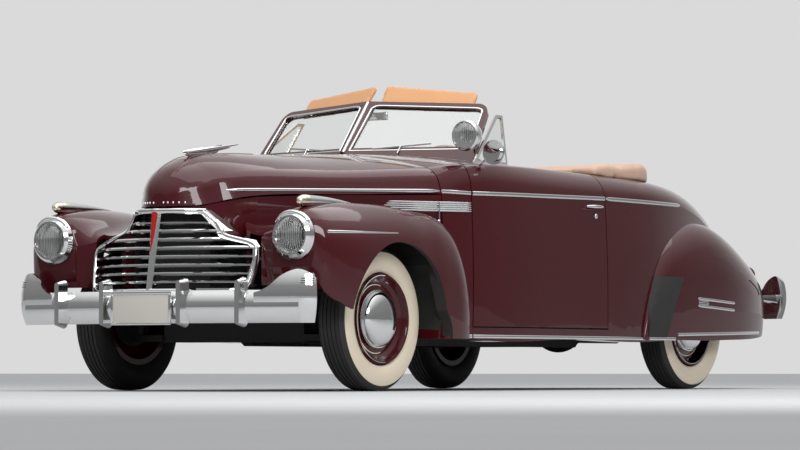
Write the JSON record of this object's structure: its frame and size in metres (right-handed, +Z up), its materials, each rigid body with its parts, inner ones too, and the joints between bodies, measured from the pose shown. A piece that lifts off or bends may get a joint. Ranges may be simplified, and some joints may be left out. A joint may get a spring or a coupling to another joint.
{
  "type": "vintage two-door convertible car",
  "caption": "Open vintage two-door car with rounded fenders, covered rear wheels, raked chrome grille, split windshield and folded top; doors, hood, trunk, steering and wheels move.",
  "frame": {"origin": "on the ground under the middle of the car's length and width", "axes": "+X forward, +Y to the car's left, +Z up"},
  "size_m": [5.3126, 1.9444, 1.585],
  "materials": {
    "body_paint": "gloss maroon enamel",
    "chrome": "polished chrome",
    "glass": "clear glass",
    "red_lens": "red lens",
    "black_paint": "dull black chassis paint",
    "engine_paint": "grey-green engine enamel",
    "dull_steel": "dull steel",
    "seat_leather": "tan leather",
    "top_fabric": "tan canvas",
    "ivory_plastic": "ivory hard rubber",
    "column_paint": "brown enamel",
    "tyre": "black rubber with a pale side band",
    "wheel_paint": "maroon enamel with chrome cap and ring"
  },
  "bodies": {
    "car": {"chassis_frame": "black_paint", "cowl": "body_paint", "dashboard": "body_paint", "driveline": "engine_paint", "engine": "engine_paint", "exhaust": "dull_steel", "fender_skirts": "body_paint", "floor_pan": "black_paint", "front_bumper": "chrome", "front_fenders": "body_paint", "front_seat": "seat_leather", "front_suspension": "black_paint", "fuel_tank": "dull_steel", "grille": "chrome", "headlamp_lenses": "glass", "headlamps": "chrome", "hood_sides": "body_paint", "nose_panel": "body_paint", "parking_lamps": "chrome", "radiator": "black_paint", "rear_axle": "black_paint", "rear_body": "body_paint", "rear_bumper": "chrome", "rear_fenders": "body_paint", "rear_seat": "seat_leather", "rear_springs": "black_paint", "sills": "body_paint", "spotlight": "chrome", "steering_column": "column_paint", "sun_visors": "top_fabric", "tail_lamps": "red_lens", "top_boot": "top_fabric", "windshield_frame": "body_paint", "windshield_glass": "glass"},
    "hood": {"hood": "body_paint", "hood_ornament": "chrome"},
    "door_left": {"door_left": "body_paint", "vent_window_left": "chrome", "vent_glass_left": "glass", "side_mirror": "chrome"},
    "door_right": {"door_right": "body_paint", "vent_window_right": "chrome", "vent_glass_right": "glass"},
    "trunk": {"trunk_lid": "body_paint"},
    "steering": {"steering_wheel": "ivory_plastic"},
    "knuckle_left": {"knuckle_left": "black_paint"},
    "knuckle_right": {"knuckle_right": "black_paint"},
    "wheel_front_left": {"wheel_front_left": "wheel_paint", "tyre_front_left": "tyre"},
    "wheel_front_right": {"wheel_front_right": "wheel_paint", "tyre_front_right": "tyre"},
    "wheel_rear_left": {"wheel_rear_left": "wheel_paint", "tyre_rear_left": "tyre"},
    "wheel_rear_right": {"wheel_rear_right": "wheel_paint", "tyre_rear_right": "tyre"}
  },
  "joints": [
    {"name": "steer_left", "type": "hinge", "parent": "car", "child": "knuckle_left", "pos_m": [1.768, 0.655, 0.356], "axis": [0, 0, 1], "range_deg": [-24.5, 35.5]},
    {"name": "steer_right", "type": "hinge", "parent": "car", "child": "knuckle_right", "pos_m": [1.768, -0.655, 0.356], "axis": [0, 0, 1], "range_deg": [-24.5, 35.5]},
    {"name": "steering_wheel", "type": "hinge", "parent": "car", "child": "steering", "pos_m": [0.365, 0.37, 1.105], "axis": [-0.788, 0, 0.6157], "range_deg": [-392, 568]},
    {"name": "spin_front_left", "type": "hinge", "parent": "knuckle_left", "child": "wheel_front_left", "pos_m": [1.7771, 0.74956, 0.356], "axis": [0.0958, 0.9954, 0], "continuous": true},
    {"name": "spin_front_right", "type": "hinge", "parent": "knuckle_right", "child": "wheel_front_right", "pos_m": [1.7589, -0.74956, 0.356], "axis": [0.0958, 0.9954, 0], "continuous": true},
    {"name": "spin_rear_left", "type": "hinge", "parent": "car", "child": "wheel_rear_left", "pos_m": [-1.305, 0.79, 0.356], "axis": [0, 1, 0], "continuous": true},
    {"name": "spin_rear_right", "type": "hinge", "parent": "car", "child": "wheel_rear_right", "pos_m": [-1.305, -0.79, 0.356], "axis": [0, 1, 0], "continuous": true},
    {"name": "door_left_hinge", "type": "hinge", "parent": "car", "child": "door_left", "pos_m": [0.945, 0.842, 0.7], "axis": [0, 0, -1], "range_deg": [0, 62]},
    {"name": "door_right_hinge", "type": "hinge", "parent": "car", "child": "door_right", "pos_m": [0.945, -0.842, 0.7], "axis": [0, 0, 1], "range_deg": [0, 62]},
    {"name": "hood_hinge", "type": "hinge", "parent": "car", "child": "hood", "pos_m": [1.146, -0.77, 1], "axis": [0.9281, 0.3712, -0.0297], "range_deg": [0, 45]},
    {"name": "trunk_hinge", "type": "hinge", "parent": "car", "child": "trunk", "pos_m": [-1.35, 0, 1.146], "axis": [0, 1, 0], "range_deg": [0, 60]}
  ],
  "couplings": [
    {"joint": "steer_right", "follows": "steer_left", "ratio": 1},
    {"joint": "steering_wheel", "follows": "steer_left", "ratio": 16}
  ]
}
